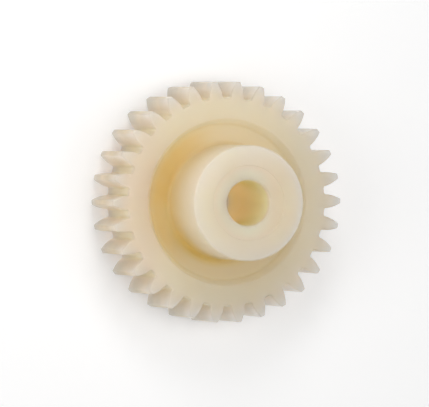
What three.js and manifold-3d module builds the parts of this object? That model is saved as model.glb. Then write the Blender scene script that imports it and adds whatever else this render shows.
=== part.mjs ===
// Moulded plastic spur gear: a toothed rim, a shallow recess round a plain hub, and a through bore.
// Millimetres. The gear lies on its back face, with the bore on the Z axis and the hub upwards.
import * as THREE from 'three';
import { mergeVertices } from 'three/addons/utils/BufferGeometryUtils.js';
import Module from 'manifold-3d';

// Teeth: full-depth involute teeth to the metric module system.
const GEAR_MODULE = 1;
const TEETH = 30;
const PRESSURE_ANGLE = THREE.MathUtils.degToRad(20);
const ADDENDUM = GEAR_MODULE;
const DEDENDUM = 1.25 * GEAR_MODULE;
const BACKLASH = 0.1; // taken off the tooth thickness at the pitch circle
const TIP_ROUND = 0.18;
const ROOT_FILLET = 0.32;

// Turned shape of the blank, measured from the back face upwards.
const FACE_WIDTH = 9;
const TOTAL_HEIGHT = 17.5;
const HUB_RADIUS = 7.6;
const HUB_EDGE_ROUND = 0.2;
const HUB_FOOT_FILLET = 0.6;
const BORE_RADIUS = 3;
const BORE_EDGE_ROUND = 0.25;
const RECESS_DEPTH = 1.3;
const RECESS_RIM_RADIUS = 11;
const RECESS_FLOOR_RADIUS = 10.4;
const RECESS_LIP_ROUND = 0.3;
const RECESS_CORNER_FILLET = 0.4;

// Step left on the hub's end face by the ejector sleeve round the bore.
const SLEEVE_MARK_RADIUS = 4.9;
const SLEEVE_MARK_STEP = 0.04;

// Facets.
const ROUND_SEGMENTS = 80;
const ARC_DIVISIONS = 2;
const FLANK_STEPS = 5;
const CUT_MARGIN = 1; // how far the toothed bar and the blank reach past each other

const PITCH_RADIUS = (GEAR_MODULE * TEETH) / 2;
const BASE_RADIUS = PITCH_RADIUS * Math.cos(PRESSURE_ANGLE);
const TIP_RADIUS = PITCH_RADIUS + ADDENDUM;
const ROOT_RADIUS = PITCH_RADIUS - DEDENDUM;
const TOOTH_STEP = (2 * Math.PI) / TEETH;

const wasm = await Module();
wasm.setup();

/** Angle between the radius through an involute's point and the radius through its start. */
function involuteAngle(roll) {
  return roll - Math.atan(roll);
}

/** Half of the tooth's angle at the base circle. */
function halfToothAtBase() {
  const thickness = (Math.PI * GEAR_MODULE) / 2 - BACKLASH;
  return thickness / (2 * PITCH_RADIUS) + involuteAngle(Math.tan(PRESSURE_ANGLE));
}

function polar(radius, angle) {
  return new THREE.Vector2(radius * Math.cos(angle), radius * Math.sin(angle));
}

/** Outline of all the teeth, counter-clockwise, with one tooth centred on +X. */
function toothOutline() {
  const baseAngle = halfToothAtBase();

  // A curve parallel to an involute is the same involute turned round its base circle,
  // so the tip corner's centre lies on the flank's own involute, TIP_ROUND further in.
  const cornerRadius = TIP_RADIUS - TIP_ROUND;
  const cornerRun = Math.sqrt(cornerRadius ** 2 - BASE_RADIUS ** 2);
  const endRoll = (cornerRun + TIP_ROUND) / BASE_RADIUS;
  const cornerAngle = baseAngle - endRoll + Math.atan(cornerRun / BASE_RADIUS);
  const flankNormal = baseAngle - endRoll + Math.PI / 2;

  const filletRadius = ROOT_RADIUS + ROOT_FILLET;
  const filletAngle = baseAngle + Math.asin(ROOT_FILLET / filletRadius);

  const outline = new THREE.Shape();
  for (let tooth = 0; tooth < TEETH; tooth += 1) {
    const middle = tooth * TOOTH_STEP;

    const rising = polar(filletRadius, middle - filletAngle);
    outline.absarc(rising.x, rising.y, ROOT_FILLET,
      middle - filletAngle + Math.PI, middle - baseAngle + Math.PI / 2, true);
    for (let step = 0; step < FLANK_STEPS; step += 1) {
      const roll = (endRoll * step) / FLANK_STEPS;
      const point = polar(BASE_RADIUS * Math.hypot(1, roll), middle - baseAngle + involuteAngle(roll));
      outline.lineTo(point.x, point.y);
    }

    const firstCorner = polar(cornerRadius, middle - cornerAngle);
    outline.absarc(firstCorner.x, firstCorner.y, TIP_ROUND,
      middle - flankNormal, middle - cornerAngle, false);
    outline.absarc(0, 0, TIP_RADIUS, middle - cornerAngle, middle + cornerAngle, false);
    const lastCorner = polar(cornerRadius, middle + cornerAngle);
    outline.absarc(lastCorner.x, lastCorner.y, TIP_ROUND,
      middle + cornerAngle, middle + flankNormal, false);

    for (let step = FLANK_STEPS - 1; step >= 0; step -= 1) {
      const roll = (endRoll * step) / FLANK_STEPS;
      const point = polar(BASE_RADIUS * Math.hypot(1, roll), middle + baseAngle - involuteAngle(roll));
      outline.lineTo(point.x, point.y);
    }
    const falling = polar(filletRadius, middle + filletAngle);
    outline.absarc(falling.x, falling.y, ROOT_FILLET,
      middle + baseAngle - Math.PI / 2, middle + filletAngle - Math.PI, true);
    outline.absarc(0, 0, ROOT_RADIUS, middle + filletAngle, middle + TOOTH_STEP - filletAngle, false);
  }
  return outline;
}

/** Straight toothed bar, longer than the gear at both ends. */
function toothedBar() {
  const bar = new THREE.ExtrudeGeometry(toothOutline(), {
    depth: TOTAL_HEIGHT + 2 * CUT_MARGIN,
    bevelEnabled: false,
    curveSegments: ARC_DIVISIONS,
  });
  return bar.translate(0, 0, -CUT_MARGIN);
}

/** Adds the line up to a corner and the arc that rounds it. */
function addRoundedCorner(path, before, corner, after) {
  const towardsBefore = before.point.clone().sub(corner.point).normalize();
  const towardsAfter = after.point.clone().sub(corner.point).normalize();
  const turn = Math.sign(towardsAfter.cross(towardsBefore));
  const halfAngle = Math.acos(towardsBefore.dot(towardsAfter)) / 2;
  const centre = towardsBefore.clone().add(towardsAfter).normalize()
    .multiplyScalar(corner.round / Math.sin(halfAngle)).add(corner.point);
  const sweep = Math.PI - 2 * halfAngle;
  const middle = corner.point.clone().sub(centre).angle();
  path.absarc(centre.x, centre.y, corner.round,
    middle - (turn * sweep) / 2, middle + (turn * sweep) / 2, turn < 0);
}

/** Half section of the turned blank: x is the radius and y the height, corner by corner. */
function blankSection() {
  const recessFloor = FACE_WIDTH - RECESS_DEPTH;
  const sleeveFace = TOTAL_HEIGHT - SLEEVE_MARK_STEP;
  const outside = TIP_RADIUS + CUT_MARGIN;
  const corners = [
    { radius: BORE_RADIUS, height: 0, round: BORE_EDGE_ROUND },
    { radius: outside, height: 0 },
    { radius: outside, height: FACE_WIDTH },
    { radius: RECESS_RIM_RADIUS, height: FACE_WIDTH, round: RECESS_LIP_ROUND },
    { radius: RECESS_FLOOR_RADIUS, height: recessFloor, round: RECESS_CORNER_FILLET },
    { radius: HUB_RADIUS, height: recessFloor, round: HUB_FOOT_FILLET },
    { radius: HUB_RADIUS, height: TOTAL_HEIGHT, round: HUB_EDGE_ROUND },
    { radius: SLEEVE_MARK_RADIUS, height: TOTAL_HEIGHT },
    { radius: SLEEVE_MARK_RADIUS, height: sleeveFace },
    { radius: BORE_RADIUS, height: sleeveFace, round: BORE_EDGE_ROUND },
  ].map(({ radius, height, round }) => ({ point: new THREE.Vector2(radius, height), round }));

  const path = new THREE.Path();
  corners.forEach((corner, index) => {
    if (corner.round) {
      const before = corners[(index + corners.length - 1) % corners.length];
      const after = corners[(index + 1) % corners.length];
      addRoundedCorner(path, before, corner, after);
    } else {
      path.lineTo(corner.point.x, corner.point.y);
    }
  });
  path.closePath();
  return path.getPoints(ARC_DIVISIONS);
}

/** Turned blank, with its axis on Z and a rim wider than the teeth. */
function turnedBlank() {
  return new THREE.LatheGeometry(blankSection(), ROUND_SEGMENTS).rotateX(Math.PI / 2);
}

function solidFrom(geometry) {
  geometry.deleteAttribute('normal');
  geometry.deleteAttribute('uv');
  const merged = mergeVertices(geometry);
  return new wasm.Manifold(new wasm.Mesh({
    numProp: 3,
    vertProperties: merged.attributes.position.array,
    triVerts: merged.index.array,
  }));
}

function geometryFrom(solid) {
  const mesh = solid.getMesh();
  const geometry = new THREE.BufferGeometry();
  geometry.setAttribute('position', new THREE.BufferAttribute(mesh.vertProperties, 3));
  geometry.setIndex(new THREE.BufferAttribute(mesh.triVerts, 1));
  geometry.computeVertexNormals();
  return geometry;
}

/** The gear is what the toothed bar and the turned blank have in common. */
function spurGear() {
  const solid = solidFrom(toothedBar()).intersect(solidFrom(turnedBlank()));
  const naturalAcetal = new THREE.MeshStandardMaterial({
    color: new THREE.Color(0.86, 0.78, 0.66),
    roughness: 0.45,
    metalness: 0,
  });
  const gear = new THREE.Mesh(geometryFrom(solid), naturalAcetal);
  gear.name = 'spur_gear';
  return gear;
}

const part = new THREE.Group();
part.add(spurGear());

export default part;
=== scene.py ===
"""Looks of the moulded acetal spur gear: one closed, finely rounded mesh in place of the faceted CAD node,
a translucent ivory plastic with light and shade painted into its colour, soft studio light on a pale floor
with a painted shadow under the gear, and a camera looking nearly down the bore."""

import math

import bpy
from mathutils import Matrix, Vector


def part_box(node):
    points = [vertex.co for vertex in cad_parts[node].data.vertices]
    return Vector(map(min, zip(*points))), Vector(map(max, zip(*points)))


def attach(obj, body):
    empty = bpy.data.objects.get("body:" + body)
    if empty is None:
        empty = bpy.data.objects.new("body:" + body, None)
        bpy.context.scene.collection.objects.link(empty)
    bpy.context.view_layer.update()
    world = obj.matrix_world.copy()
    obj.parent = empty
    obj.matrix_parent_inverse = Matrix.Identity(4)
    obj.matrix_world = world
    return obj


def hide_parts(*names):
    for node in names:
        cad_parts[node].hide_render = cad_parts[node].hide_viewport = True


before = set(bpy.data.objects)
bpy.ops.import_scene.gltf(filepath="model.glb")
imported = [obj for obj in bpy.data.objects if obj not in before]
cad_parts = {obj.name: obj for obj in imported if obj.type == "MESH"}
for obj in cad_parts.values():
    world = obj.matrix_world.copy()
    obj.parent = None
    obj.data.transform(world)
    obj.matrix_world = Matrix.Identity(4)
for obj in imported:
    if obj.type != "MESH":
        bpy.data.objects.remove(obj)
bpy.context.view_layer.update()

# Sizes come from the CAD box: the tip circle is two modules wider than the pitch circle.
GEAR_NODE = "spur_gear"
TEETH = 30
gear_low, gear_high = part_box(GEAR_NODE)
MODULE = (gear_high.x - gear_low.x) / (TEETH + 2)
TOTAL_HEIGHT = gear_high.z

# Teeth.
PRESSURE_ANGLE = math.radians(20)
BACKLASH = 0.1 * MODULE
TIP_ROUND = 0.18 * MODULE
ROOT_FILLET = 0.32 * MODULE
PITCH_RADIUS = TEETH * MODULE / 2
BASE_RADIUS = PITCH_RADIUS * math.cos(PRESSURE_ANGLE)
TIP_RADIUS = PITCH_RADIUS + MODULE
ROOT_RADIUS = PITCH_RADIUS - 1.25 * MODULE
TOOTH_STEP = 2 * math.pi / TEETH
TOOTH_END_ROUND = 0.17 * MODULE

# Turned shape.
FACE_WIDTH = 9 * MODULE
HUB_RADIUS = 7.6 * MODULE
HUB_EDGE_ROUND = 0.2 * MODULE
HUB_FOOT_FILLET = 0.6 * MODULE
BORE_RADIUS = 3 * MODULE
BORE_EDGE_ROUND = 0.25 * MODULE
RECESS_FLOOR = FACE_WIDTH - 1.3 * MODULE
RECESS_RIM_RADIUS = 11 * MODULE
RECESS_FLOOR_RADIUS = 10.4 * MODULE
RECESS_LIP_ROUND = 0.3 * MODULE
RECESS_CORNER_FILLET = 0.4 * MODULE
SLEEVE_MARK_RADIUS = 4.9 * MODULE
SLEEVE_MARK_WIDTH = 0.16 * MODULE
SLEEVE_MARK_DEPTH = 0.06 * MODULE
SLEEVE_MARK_STEP = 0.04 * MODULE
SLEEVE_MARK_ROUND = 0.03 * MODULE

# Mesh density: the turned rings have a whole number of points to each tooth, and so does the outline.
TURNED_POINTS = 10 * TEETH
TIP_STEPS = 2
CORNER_STEPS = 5
FLANK_STEPS = 8
FILLET_STEPS = 4
HALF_TOOTH_STEPS = TIP_STEPS + CORNER_STEPS + FLANK_STEPS + FILLET_STEPS + 1
OUTLINE_POINTS = 2 * HALF_TOOTH_STEPS * TEETH
INNER_RING_RADIUS = ROOT_RADIUS - 0.45 * MODULE
OUTER_TURNED_RADIUS = ROOT_RADIUS - 0.9 * MODULE
ARC_STEPS = 6
HUB_FOOT_STEPS = 10
GROOVE_STEPS = 2
TOOTH_END_STEPS = 4


def polar(radius, angle):
    return Vector((radius * math.cos(angle), radius * math.sin(angle)))


def involute_angle(roll):
    """Angle between the radius through an involute's point and the radius through its start."""
    return roll - math.atan(roll)


def arc(centre, radius, start, end, steps, outward=1):
    """Points and normals along an arc, both ends included. outward is -1 where the material is outside it."""
    points = []
    for step in range(steps + 1):
        direction = polar(1, start + (end - start) * step / steps)
        points.append((centre + radius * direction, outward * direction))
    return points


def half_tooth():
    """Points and normals from a tooth's centre line on +X to the middle of the next gap."""
    thickness = math.pi * MODULE / 2 - BACKLASH
    base_angle = thickness / (2 * PITCH_RADIUS) + involute_angle(math.tan(PRESSURE_ANGLE))
    corner_radius = TIP_RADIUS - TIP_ROUND
    corner_run = math.sqrt(corner_radius ** 2 - BASE_RADIUS ** 2)
    end_roll = (corner_run + TIP_ROUND) / BASE_RADIUS
    corner_angle = base_angle - end_roll + math.atan(corner_run / BASE_RADIUS)
    fillet_radius = ROOT_RADIUS + ROOT_FILLET
    fillet_angle = base_angle + math.asin(ROOT_FILLET / fillet_radius)

    origin = Vector((0, 0))
    points = arc(origin, TIP_RADIUS, 0, corner_angle, TIP_STEPS)[:-1]
    points += arc(polar(corner_radius, corner_angle), TIP_ROUND,
                  corner_angle, base_angle - end_roll + math.pi / 2, CORNER_STEPS)
    for step in range(FLANK_STEPS - 1, -1, -1):
        roll = end_roll * step / FLANK_STEPS
        point = polar(BASE_RADIUS * math.hypot(1, roll), base_angle - involute_angle(roll))
        points.append((point, polar(1, base_angle - roll + math.pi / 2)))
    points += arc(polar(fillet_radius, fillet_angle), ROOT_FILLET,
                  base_angle - math.pi / 2, fillet_angle - math.pi, FILLET_STEPS, outward=-1)[1:]
    points.append((polar(ROOT_RADIUS, TOOTH_STEP / 2), polar(1, TOOTH_STEP / 2)))
    return points


def tooth_outline():
    """Points and normals of all the teeth, counter-clockwise, starting in the middle of a gap."""
    half = half_tooth()
    mirrored = [(Vector((p.x, -p.y)), Vector((n.x, -n.y))) for p, n in reversed(half)]
    one = mirrored[:-1] + half[:-1]
    outline = []
    for tooth in range(TEETH):
        turn = Matrix.Rotation(tooth * TOOTH_STEP, 2)
        outline += [(turn @ p, turn @ n) for p, n in one]
    return outline


def inner_ring_angles():
    """Angles of the flat rings inside the teeth.

    They follow the rounded outline round a gap, and are even under a tooth, so that no face folds over.
    """
    half = half_tooth()
    flank_end = HALF_TOOTH_STEPS - FILLET_STEPS - 1
    gap = [point - TOOTH_END_ROUND * normal for point, normal in half[flank_end:]]
    gap_angles = [math.atan2(point.y, point.x) for point in gap]
    half_angles = [gap_angles[0] * step / flank_end for step in range(flank_end)] + gap_angles
    one = [-angle for angle in reversed(half_angles)][:-1] + half_angles[:-1]
    return [tooth * TOOTH_STEP + angle for tooth in range(TEETH) for angle in one]


class RingMesh:
    """A closed surface made of rings round the Z axis, each joined to the one before it."""

    def __init__(self):
        self.points = []
        self.normals = []
        self.faces = []
        self.rings = []

    def ring(self, points, normals):
        first = len(self.points)
        self.points += points
        self.normals += normals
        self.rings.append(range(first, first + len(points)))

    def turned_ring(self, radius, height, normal, count=TURNED_POINTS):
        """A circle. normal is its (radial, axial) direction."""
        angles = [-TOOTH_STEP / 2 + 2 * math.pi * i / count for i in range(count)]
        directions = [polar(1, a) for a in angles]
        self.ring([Vector((radius * d.x, radius * d.y, height)) for d in directions],
                  [Vector((normal[0] * d.x, normal[0] * d.y, normal[1])).normalized() for d in directions])

    def join(self, one, other):
        """Faces between two rings, whose counts are equal or differ by a whole factor."""
        if len(one) == len(other):
            for i in range(len(one)):
                j = (i + 1) % len(one)
                self.faces.append((one[i], one[j], other[j], other[i]))
            return
        fine, coarse = (one, other) if len(one) > len(other) else (other, one)
        ratio = len(fine) // len(coarse)
        for i in range(len(coarse)):
            fan = [fine[(i * ratio + k) % len(fine)] for k in range(ratio + 1)]
            near, far = coarse[i], coarse[(i + 1) % len(coarse)]
            for k in range(ratio):
                apex = near if k < ratio / 2 else far
                self.faces.append(self.facing(fan[k], fan[k + 1], apex, fine is one))
            self.faces.append(self.facing(near, fan[ratio // 2], far, fine is one))

    @staticmethod
    def facing(a, b, c, forwards):
        return (a, b, c) if forwards else (a, c, b)

    def close(self):
        for one, other in zip(self.rings, self.rings[1:] + self.rings[:1]):
            self.join(one, other)


def rounded_corner(before, corner, after, radius, steps=ARC_STEPS):
    """(radius, height, normal) points of an arc in the section, tangent to the two lines at a corner."""
    before, corner, after = Vector(before), Vector(corner), Vector(after)
    to_before = (before - corner).normalized()
    to_after = (after - corner).normalized()
    turn = 1 if to_after.cross(to_before) > 0 else -1
    half_angle = math.acos(to_before.dot(to_after)) / 2
    centre = corner + (to_before + to_after).normalized() * radius / math.sin(half_angle)
    middle = math.atan2(corner.y - centre.y, corner.x - centre.x)
    sweep = math.pi - 2 * half_angle
    points = arc(centre, radius, middle - turn * sweep / 2, middle + turn * sweep / 2, steps, outward=turn)
    return [(p.x, p.y, (n.x, n.y)) for p, n in points]


def turned_front():
    """Section from the rim's front face over the recess and the hub and down the bore."""
    rim = (OUTER_TURNED_RADIUS, FACE_WIDTH)
    lip = (RECESS_RIM_RADIUS, FACE_WIDTH)
    corner = (RECESS_FLOOR_RADIUS, RECESS_FLOOR)
    foot = (HUB_RADIUS, RECESS_FLOOR)
    hub_edge = (HUB_RADIUS, TOTAL_HEIGHT)
    bore_mouth = (BORE_RADIUS, TOTAL_HEIGHT - SLEEVE_MARK_STEP)
    bore_back = (BORE_RADIUS, 0)
    groove_side = (SLEEVE_MARK_RADIUS + SLEEVE_MARK_WIDTH / 2, TOTAL_HEIGHT)
    groove_bottom = (SLEEVE_MARK_RADIUS, TOTAL_HEIGHT - SLEEVE_MARK_DEPTH)
    groove_end = (SLEEVE_MARK_RADIUS - SLEEVE_MARK_WIDTH / 2, TOTAL_HEIGHT - SLEEVE_MARK_STEP)
    section = rounded_corner(rim, lip, corner, RECESS_LIP_ROUND)
    section += rounded_corner(lip, corner, foot, RECESS_CORNER_FILLET)
    section += rounded_corner(corner, foot, hub_edge, HUB_FOOT_FILLET, HUB_FOOT_STEPS)
    section += rounded_corner(foot, hub_edge, groove_side, HUB_EDGE_ROUND)
    groove = (hub_edge, groove_side, groove_bottom, groove_end, bore_mouth)
    for corner_points in zip(groove, groove[1:], groove[2:]):
        section += rounded_corner(*corner_points, SLEEVE_MARK_ROUND, GROOVE_STEPS)
    section += rounded_corner(groove_end, bore_mouth, bore_back, BORE_EDGE_ROUND)
    return section


def gear_mesh():
    rings = RingMesh()
    outline = tooth_outline()
    inner = [polar(INNER_RING_RADIUS, angle) for angle in inner_ring_angles()]

    def flat_ring(height, axial):
        rings.ring([Vector((p.x, p.y, height)) for p in inner], [Vector((0, 0, axial))] * OUTLINE_POINTS)

    def tooth_end(height, axial, angles):
        """Rings over the rounded end edge of the teeth. Angle 0 is the flank and 90 degrees the end face."""
        for angle in angles:
            inset = TOOTH_END_ROUND * (1 - math.cos(angle))
            level = height - axial * TOOTH_END_ROUND * (1 - math.sin(angle))
            points = []
            normals = []
            for point, normal in outline:
                moved = point - inset * normal
                points.append(Vector((moved.x, moved.y, level)))
                side = math.cos(angle) * normal
                normals.append(Vector((side.x, side.y, axial * math.sin(angle))))
            rings.ring(points, normals)

    bore_back = rounded_corner((BORE_RADIUS, TOTAL_HEIGHT), (BORE_RADIUS, 0),
                               (OUTER_TURNED_RADIUS, 0), BORE_EDGE_ROUND)
    for radius, height, normal in bore_back:
        rings.turned_ring(radius, height, normal)
    rings.turned_ring(OUTER_TURNED_RADIUS, 0, (0, -1))
    flat_ring(0, -1)
    quarter = [math.pi / 2 * step / TOOTH_END_STEPS for step in range(TOOTH_END_STEPS + 1)]
    tooth_end(0, -1, reversed(quarter))
    tooth_end(FACE_WIDTH, 1, quarter)
    flat_ring(FACE_WIDTH, 1)
    rings.turned_ring(OUTER_TURNED_RADIUS, FACE_WIDTH, (0, 1))
    for radius, height, normal in turned_front():
        rings.turned_ring(radius, height, normal)
    rings.close()

    mesh = bpy.data.meshes.new("moulded_gear")
    mesh.from_pydata(rings.points, [], rings.faces)
    mesh.validate(clean_customdata=False)
    mesh.polygons.foreach_set("use_smooth", [True] * len(mesh.polygons))
    mesh.normals_split_custom_set_from_vertices(rings.normals)
    mesh.update()
    return mesh


# Acetal, by base colour, with light and shade painted into it. Light from inside a hollow has passed through
# more plastic and comes out a deeper gold; that gold is painted here as shade in the recess, down the bore
# and at the foot of the hub.
FACE_COLOUR = (0.995, 0.78, 0.515)
# Painted shade: darker towards the -X side.
LEFT_SHADE_COLOUR = (0.94, 0.685, 0.49)
# Painted shade: a deeper gold in the recess. The slow random clouds use this colour too.
HOLLOW_SHADE_AND_CLOUD_COLOUR = (0.997, 0.73, 0.455)
# Painted shadow of the hub on the recess, deepest towards its azimuth below.
HUB_SHADOW_COLOUR = (0.98, 0.62, 0.25)
# Painted shade: a deeper gold at the foot of the hub, deepest towards its azimuth below.
FOOT_SHADE_COLOUR = (0.997, 0.68, 0.30)
HUB_COLOUR = (0.98, 0.695, 0.495)
# Painted shade: the hub darker towards its +X side.
HUB_RIGHT_SHADE_COLOUR = (0.965, 0.59, 0.37)
# Painted light: lighter round the bore's mouth, on its -X half.
MOUTH_LIGHT_COLOUR = (0.995, 0.88, 0.60)
# Painted shade: a deeper gold down the bore.
BORE_SHADE_COLOUR = (0.997, 0.80, 0.39)
# Painted shade: deeper still towards the bore's back end.
BORE_END_SHADE_COLOUR = (0.993, 0.66, 0.16)
# Painted shade: the teeth darker and greyer than the face.
TOOTH_SHADE_COLOUR = (0.73, 0.62, 0.475)
# Painted shade: the tooth flanks darker towards the back.
FLANK_SHADE_COLOUR = (0.58, 0.45, 0.26)
# Painted shade: the teeth darkest at their back ends.
TOOTH_BACK_SHADE_COLOUR = (0.43, 0.37, 0.25)
# Painted light: a warm gold in the tooth gaps near the front face.
GAP_LIGHT_COLOUR = (0.99, 0.775, 0.505)

# Azimuths from +X towards which the painted shade is deepest: the hub's painted shadow in the recess, and the
# painted shade on the foot of the hub.
HUB_SHADOW_AZIMUTH = math.radians(165)
FOOT_SHADE_AZIMUTH = math.radians(235)

# Where each colour begins to cover the ones before it, and where it covers them fully.
# Sides are along X, heights along Z, radii from the gear's axis, and reaches towards the azimuths above.
# Cloud levels are of the noise.
# Where the painted shade on the -X side lies.
LEFT_SHADE_SIDES = (-7 * MODULE, -12 * MODULE)
HUB_HEIGHTS = (FACE_WIDTH, TOTAL_HEIGHT - MODULE)
# Where the painted shade on the hub's +X side lies.
HUB_RIGHT_SHADE_SIDES = (0, HUB_RADIUS)
# Where the painted shade in the recess lies, kept off the back face; the back heights also serve the painted
# shade on the foot of the hub.
HOLLOW_SHADE_RADII = (RECESS_RIM_RADIUS + 0.2 * MODULE, 9.4 * MODULE)
HOLLOW_SHADE_HEIGHTS = (16 * MODULE, 7 * MODULE)
SHADE_BACK_HEIGHTS = (5 * MODULE, 6 * MODULE)
# Where the hub's painted shadow lies in the recess.
HUB_SHADOW_REACHES = (2 * MODULE, 8.5 * MODULE)
HUB_SHADOW_RADII = (HUB_RADIUS - 0.2 * MODULE, HUB_RADIUS + 0.4 * MODULE)
# Where the painted shade on the foot of the hub lies.
FOOT_SHADE_REACHES = (1.5 * MODULE, 8 * MODULE)
FOOT_SHADE_RADII = (HUB_RADIUS + 1.4 * MODULE, HUB_RADIUS + 0.4 * MODULE)
FOOT_SHADE_HEIGHTS = (FACE_WIDTH + 3.5 * MODULE, FACE_WIDTH - 0.5 * MODULE)
# Where the painted light round the bore's mouth lies.
MOUTH_LIGHT_SIDES = (4 * MODULE, 0)
MOUTH_LIGHT_RADII = (BORE_RADIUS + 2 * MODULE, BORE_RADIUS + 0.3 * MODULE)
MOUTH_LIGHT_HEIGHTS = (TOTAL_HEIGHT - 0.5 * MODULE, TOTAL_HEIGHT - 0.1 * MODULE)
# Where the bore's painted shade lies.
BORE_SHADE_RADII = (BORE_RADIUS + 0.3 * MODULE, BORE_RADIUS)
BORE_SHADE_HEIGHTS = (TOTAL_HEIGHT, TOTAL_HEIGHT - 1.5 * MODULE)
BORE_SHADE_BACK_HEIGHTS = (0, 1.5 * MODULE)
BORE_END_SHADE_HEIGHTS = (0.9 * TOTAL_HEIGHT, 0.3 * TOTAL_HEIGHT)
# Where the teeth's painted shade lies.
TOOTH_SHADE_RADII = (ROOT_RADIUS - 0.5 * MODULE, TIP_RADIUS)
# Where the flanks' painted shade lies.
FLANK_SHADE_RADII = (ROOT_RADIUS + 0.2 * MODULE, TIP_RADIUS)
FLANK_SHADE_HEIGHTS = (FACE_WIDTH, 0.55 * FACE_WIDTH)
# Where the painted shade at the teeth's back ends lies.
TOOTH_BACK_SHADE_RADII = (ROOT_RADIUS, TIP_RADIUS)
TOOTH_BACK_SHADE_HEIGHTS = (0.6 * FACE_WIDTH, 0)
# Where the painted light in the tooth gaps lies.
GAP_LIGHT_INNER_RADII = (ROOT_RADIUS - 0.3 * MODULE, ROOT_RADIUS - 0.05 * MODULE)
GAP_LIGHT_OUTER_RADII = (ROOT_RADIUS + MODULE, ROOT_RADIUS + 0.2 * MODULE)
GAP_LIGHT_HEIGHTS = (FACE_WIDTH, FACE_WIDTH - MODULE)
CLOUD_LEVELS = (0.35, 0.95)

CLOUD_SCALE = 0.12 / MODULE
CLOUD_DETAIL = 3
SKIN_SCALE = 2.5 / MODULE
SKIN_DETAIL = 4
SKIN_GLOSSY = 0.27
SKIN_DULL = 0.38
SKIN_BUMP = 0.1
SKIN_DEPTH = 0.02 * MODULE
ACETAL_IOR = 1.48
SCATTER_DISTANCE = 22 * MODULE


class Nodes:
    """Short ways to add and link shader nodes."""

    # A mix node has sockets for numbers, vectors and colours. These are the ones for colours.
    MIX_ONE, MIX_OTHER, MIX_RESULT = 6, 7, 2

    def __init__(self, material):
        material.use_nodes = True
        self.tree = material.node_tree
        self.shader = self.tree.nodes["Principled BSDF"]

    def add(self, kind, **inputs):
        node = self.tree.nodes.new(kind)
        for name, value in inputs.items():
            self.put(value, node.inputs[name.replace("_", " ")])
        return node

    def put(self, value, socket):
        if isinstance(value, bpy.types.NodeSocket):
            self.tree.links.new(value, socket)
        else:
            socket.default_value = value

    def fade(self, value, start, end):
        """0 at start and 1 at end, with a smooth step between them."""
        node = self.add("ShaderNodeMapRange", Value=value, From_Min=start, From_Max=end)
        node.interpolation_type = "SMOOTHSTEP"
        return node.outputs["Result"]

    def product(self, first, *others):
        for other in others:
            node = self.tree.nodes.new("ShaderNodeMath")
            node.operation = "MULTIPLY"
            self.put(first, node.inputs[0])
            self.put(other, node.inputs[1])
            first = node.outputs["Value"]
        return first

    def reach(self, vector, azimuth):
        """How far a point lies from the origin towards one azimuth."""
        node = self.tree.nodes.new("ShaderNodeVectorMath")
        node.operation = "DOT_PRODUCT"
        self.put(vector, node.inputs[0])
        self.put((math.cos(azimuth), math.sin(azimuth), 0), node.inputs[1])
        return node.outputs["Value"]

    def length(self, vector):
        node = self.tree.nodes.new("ShaderNodeVectorMath")
        node.operation = "LENGTH"
        self.put(vector, node.inputs[0])
        return node.outputs["Value"]

    def mix(self, factor, one, other):
        node = self.tree.nodes.new("ShaderNodeMix")
        node.data_type = "RGBA"
        self.put(factor, node.inputs["Factor"])
        for value, socket in ((one, self.MIX_ONE), (other, self.MIX_OTHER)):
            self.put((*value, 1) if isinstance(value, tuple) else value, node.inputs[socket])
        return node.outputs[self.MIX_RESULT]

    def noise(self, vector, scale, detail):
        node = self.add("ShaderNodeTexNoise", Vector=vector, Scale=scale, Detail=detail)
        return node.outputs["Fac"]


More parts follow.
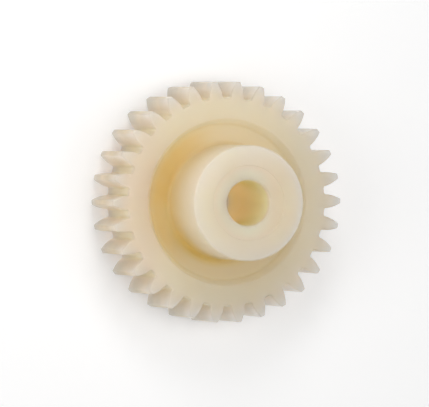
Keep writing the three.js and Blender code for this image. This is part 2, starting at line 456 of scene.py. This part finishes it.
def acetal_colour(nodes, place):
    """Base colour by place, mostly painted light and shade: one colour after another over the rim's, and slow
    clouds over them all.
    """
    parts = nodes.add("ShaderNodeSeparateXYZ", Vector=place)
    side = parts.outputs["X"]
    height = parts.outputs["Z"]
    flat = nodes.add("ShaderNodeCombineXYZ", X=side, Y=parts.outputs["Y"])
    radius = nodes.length(flat.outputs["Vector"])

    def cover(colour, other, *fades):
        share = nodes.product(*(nodes.fade(value, *limits) for value, limits in fades))
        return nodes.mix(share, colour, other)

    # How far a point lies towards the hub's painted shadow in the recess.
    hub_shadow_reach = nodes.reach(place, HUB_SHADOW_AZIMUTH)
    # How far a point lies towards the painted shade on the foot of the hub.
    foot_shade_reach = nodes.reach(place, FOOT_SHADE_AZIMUTH)
    # The hub's own colour, with painted shade towards its +X side.
    hub_and_right_shade = cover(HUB_COLOUR, HUB_RIGHT_SHADE_COLOUR, (side, HUB_RIGHT_SHADE_SIDES))
    # Painted shade in the recess, with the hub's painted shadow over it.
    hollow_shade = cover(HOLLOW_SHADE_AND_CLOUD_COLOUR, HUB_SHADOW_COLOUR,
                   (hub_shadow_reach, HUB_SHADOW_REACHES), (radius, HUB_SHADOW_RADII))
    # Painted shade down the bore, deeper towards its back end.
    bore_shade = cover(BORE_SHADE_COLOUR, BORE_END_SHADE_COLOUR, (height, BORE_END_SHADE_HEIGHTS))
    cloud = nodes.noise(place, CLOUD_SCALE, CLOUD_DETAIL)
    colour = FACE_COLOUR
    # Each cover below is painted light or shade, except the hub's own colour and the slow clouds.
    for other, *fades in (
        (LEFT_SHADE_COLOUR, (side, LEFT_SHADE_SIDES)),
        (hub_and_right_shade, (height, HUB_HEIGHTS)),
        (hollow_shade, (radius, HOLLOW_SHADE_RADII), (height, HOLLOW_SHADE_HEIGHTS), (height, SHADE_BACK_HEIGHTS)),
        (FOOT_SHADE_COLOUR, (foot_shade_reach, FOOT_SHADE_REACHES), (radius, FOOT_SHADE_RADII), (height, FOOT_SHADE_HEIGHTS),
         (height, SHADE_BACK_HEIGHTS)),
        (MOUTH_LIGHT_COLOUR, (side, MOUTH_LIGHT_SIDES), (radius, MOUTH_LIGHT_RADII), (height, MOUTH_LIGHT_HEIGHTS)),
        (bore_shade, (radius, BORE_SHADE_RADII), (height, BORE_SHADE_HEIGHTS), (height, BORE_SHADE_BACK_HEIGHTS)),
        (TOOTH_SHADE_COLOUR, (radius, TOOTH_SHADE_RADII)),
        (FLANK_SHADE_COLOUR, (radius, FLANK_SHADE_RADII), (height, FLANK_SHADE_HEIGHTS)),
        (TOOTH_BACK_SHADE_COLOUR, (radius, TOOTH_BACK_SHADE_RADII), (height, TOOTH_BACK_SHADE_HEIGHTS)),
        (GAP_LIGHT_COLOUR, (radius, GAP_LIGHT_INNER_RADII), (radius, GAP_LIGHT_OUTER_RADII), (height, GAP_LIGHT_HEIGHTS)),
        (HOLLOW_SHADE_AND_CLOUD_COLOUR, (cloud, CLOUD_LEVELS)),
    ):
        colour = cover(colour, other, *fades)
    return colour


def acetal_material():
    """Natural acetal: ivory, translucent, with a satin moulded skin and light and shade painted into its
    colour.
    """
    material = bpy.data.materials.new("satin_acetal")
    nodes = Nodes(material)
    shader = nodes.shader
    shader.inputs["IOR"].default_value = ACETAL_IOR
    shader.inputs["Subsurface Weight"].default_value = 1.0
    shader.inputs["Subsurface Radius"].default_value = (1.0, 1.0, 1.0)
    shader.inputs["Subsurface Scale"].default_value = SCATTER_DISTANCE
    place = nodes.add("ShaderNodeTexCoord").outputs["Object"]
    nodes.put(acetal_colour(nodes, place), shader.inputs["Base Color"])
    skin = nodes.noise(place, SKIN_SCALE, SKIN_DETAIL)
    gloss = nodes.add("ShaderNodeMapRange", Value=skin, To_Min=SKIN_GLOSSY, To_Max=SKIN_DULL)
    nodes.put(gloss.outputs["Result"], shader.inputs["Roughness"])
    bump = nodes.add("ShaderNodeBump", Strength=SKIN_BUMP, Distance=SKIN_DEPTH, Height=skin)
    nodes.put(bump.outputs["Normal"], shader.inputs["Normal"])
    return material


def add_gear():
    gear = bpy.data.objects.new("moulded_gear", gear_mesh())
    bpy.context.scene.collection.objects.link(gear)
    gear.data.materials.append(acetal_material())
    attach(gear, "root")
    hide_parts(GEAR_NODE)


# Camera: nearly down the bore axis, swung towards -X so that the hub stands out to the right.
# Its sight is in metres and its sensor in millimetres.
CAMERA_SWING = math.radians(19.27)
CAMERA_LIFT = math.radians(0.95)
CAMERA_ROLL = math.radians(-0.23)
CAMERA_DISTANCE = 870 * MODULE
CAMERA_SIDE = 1.273 * MODULE
CAMERA_UP = -0.327 * MODULE
FIELD_WIDTH = 57.33 * MODULE
CAMERA_SIGHT = 10
SENSOR_WIDTH = 36


def add_camera():
    data = bpy.data.cameras.new("camera")
    data.sensor_width = SENSOR_WIDTH
    data.lens = data.sensor_width * CAMERA_DISTANCE / FIELD_WIDTH
    data.clip_end = CAMERA_SIGHT
    camera = bpy.data.objects.new("camera", data)
    bpy.context.scene.collection.objects.link(camera)
    turn = (Matrix.Rotation(CAMERA_ROLL, 4, "Z") @ Matrix.Rotation(-CAMERA_SWING, 4, "Y")
            @ Matrix.Rotation(-CAMERA_LIFT, 4, "X"))
    camera.matrix_world = turn @ Matrix.Translation((CAMERA_SIDE, CAMERA_UP, CAMERA_DISTANCE))
    bpy.context.scene.camera = camera


def add_area_light(name, place, size, power, aim=(0, 0, 0), colour=(1, 1, 1)):
    data = bpy.data.lights.new(name, "AREA")
    data.shape = "DISK"
    data.size = size
    data.energy = power
    data.color = colour
    light = bpy.data.objects.new(name, data)
    light.location = place
    light.rotation_mode = "QUATERNION"
    light.rotation_quaternion = (Vector(aim) - Vector(place)).to_track_quat("-Z", "Y")
    light.visible_camera = False
    bpy.context.scene.collection.objects.link(light)


# Studio. The floor glows, less so under the gear, where the dimmer glow is a painted shadow. Sizes and places
# are in metres, powers in watts.
FLOOR_HALF_SIZE = 4.0
FLOOR_DROP = 0.00002
FLOOR_COLOUR = (0.66, 0.66, 0.66, 1)
FLOOR_ROUGHNESS = 0.8
FLOOR_GLOW = 0.5
GLOW_COLOUR = (1.0, 1.0, 1.0)
# Painted shadow: the floor's glow dims under the gear, out to these radii.
SHADOW_GLOW_COLOUR = (0.25, 0.25, 0.25)
SHADOW_GLOW_RADII = (0.68 * TIP_RADIUS, 1.15 * TIP_RADIUS)
WORLD_STRENGTH = 0.02
BORE_LAMP_HEIGHT = 0.0002
BORE_LAMP_SIZE = 1.87 * BORE_RADIUS
BORE_LAMP_POWER = 6e-5
BORE_LAMP_COLOUR = (1.0, 0.88, 0.65)
# name: azimuth from +X and rise above the floor in degrees, distance, size, power
LIGHTS = {
    "right": (0, 55, 0.35, 0.2, 0.25),
    "bottom_left": (210, 22, 0.35, 0.2, 0.15),
    "bottom_right": (300, 40, 0.35, 0.2, 0.115),
    "low_left": (180, 12, 0.30, 0.12, 0.015),
    "key_top": (100, 48, 0.16, 0.06, 0.067),
    "key_top_left": (135, 45, 0.16, 0.08, 0.018),
    "key_left": (180, 45, 0.16, 0.08, 0.055),
    "sheen": (90, 85, 0.11, 0.03, 0.005),
    "sheen_right": (23, 77, 0.164, 0.08, 0.012),
}


def floor_material():
    material = bpy.data.materials.new("pale_floor")
    nodes = Nodes(material)
    shader = nodes.shader
    shader.inputs["Base Color"].default_value = FLOOR_COLOUR
    shader.inputs["Roughness"].default_value = FLOOR_ROUGHNESS
    shader.inputs["Emission Strength"].default_value = FLOOR_GLOW
    radius = nodes.length(nodes.add("ShaderNodeTexCoord").outputs["Object"])
    # Painted shadow: the glow dims under the gear.
    glow_and_shadow = nodes.mix(nodes.fade(radius, *SHADOW_GLOW_RADII), SHADOW_GLOW_COLOUR, GLOW_COLOUR)
    nodes.put(glow_and_shadow, shader.inputs["Emission Color"])
    return material


def add_floor():
    """Pale, faintly glowing table, as in a light tent, with a painted shadow under the gear."""
    corners = [(x * FLOOR_HALF_SIZE, y * FLOOR_HALF_SIZE, 0) for x, y in ((-1, -1), (1, -1), (1, 1), (-1, 1))]
    mesh = bpy.data.meshes.new("floor")
    mesh.from_pydata(corners, [], [(0, 1, 2, 3)])
    mesh.materials.append(floor_material())
    floor = bpy.data.objects.new("floor", mesh)
    floor.location.z = -FLOOR_DROP
    bpy.context.scene.collection.objects.link(floor)


def set_world():
    world = bpy.data.worlds.new("studio")
    world.use_nodes = True
    background = world.node_tree.nodes["Background"]
    background.inputs["Color"].default_value = (1, 1, 1, 1)
    background.inputs["Strength"].default_value = WORLD_STRENGTH
    bpy.context.scene.world = world


def add_lights():
    for name, (azimuth, rise, distance, size, power) in LIGHTS.items():
        azimuth, rise = math.radians(azimuth), math.radians(rise)
        place = (*(distance * math.cos(rise) * polar(1, azimuth)), distance * math.sin(rise))
        add_area_light(name, place, size, power)
    back_of_bore = (0, 0, BORE_LAMP_HEIGHT)
    front_of_bore = (0, 0, TOTAL_HEIGHT)
    add_area_light("bore_lamp", back_of_bore, BORE_LAMP_SIZE, BORE_LAMP_POWER,
                   aim=front_of_bore, colour=BORE_LAMP_COLOUR)


add_camera()
add_gear()
set_world()
add_floor()
add_lights()
bpy.context.scene.view_settings.view_transform = "Standard"
